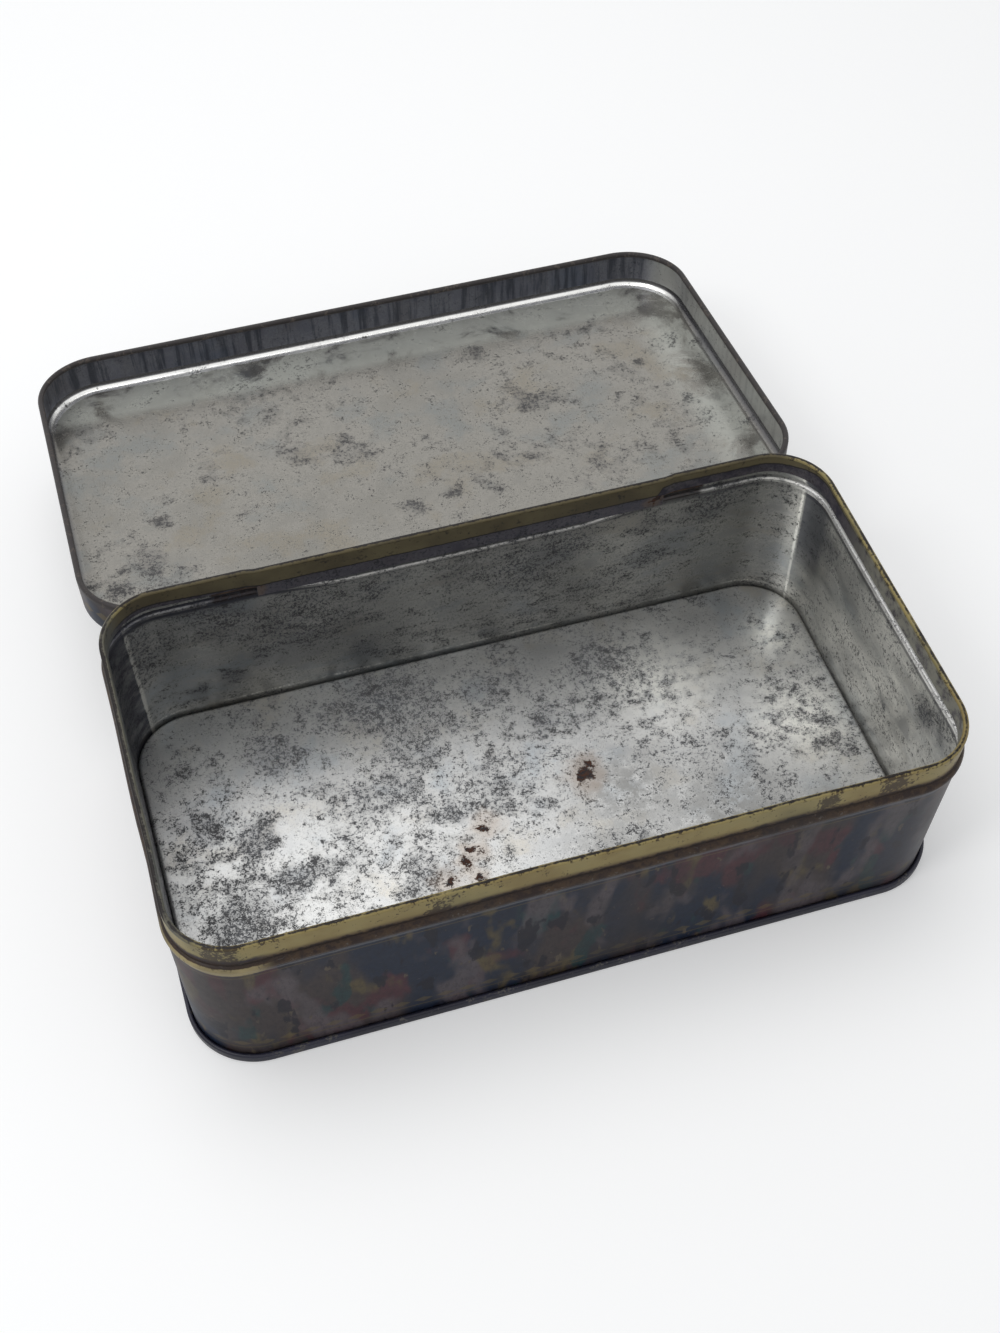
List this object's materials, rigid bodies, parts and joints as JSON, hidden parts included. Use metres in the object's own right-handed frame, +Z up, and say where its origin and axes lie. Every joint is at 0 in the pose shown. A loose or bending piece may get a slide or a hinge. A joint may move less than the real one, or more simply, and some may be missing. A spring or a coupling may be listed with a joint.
{
  "type": "hinged tinplate box",
  "caption": "Old rectangular tinplate box with round corners, a rolled bead, a double-seamed bottom and a shallow hinged lid, standing open.",
  "frame": {"origin": "middle of the open tin's overall box, on the surface that it stands on", "axes": "+X to the right along the hinge, +Y from the front to the back where the open lid lies, +Z up"},
  "size_m": [0.212, 0.2364, 0.057],
  "materials": {
    "printed_tinplate": "lithographed tinplate, worn, bare metal inside",
    "bare_tinplate": "bare tinned steel, bright with a mottled dark patina",
    "stained_tinplate": "bare tinned steel, stained brown",
    "hinge_steel": "dull steel wire"
  },
  "bodies": {
    "tin": {"body_wall": "printed_tinplate", "base_plate": "bare_tinplate", "hinge_strip": "stained_tinplate", "hinge_wire": "hinge_steel"},
    "lid": {"lid": "printed_tinplate"}
  },
  "joints": [
    {"name": "lid_hinge", "type": "hinge", "parent": "tin", "child": "lid", "pos_m": [0, 0.00006, 0.0482], "axis": [1, 0, 0], "range_deg": [0, 185.12]}
  ]
}
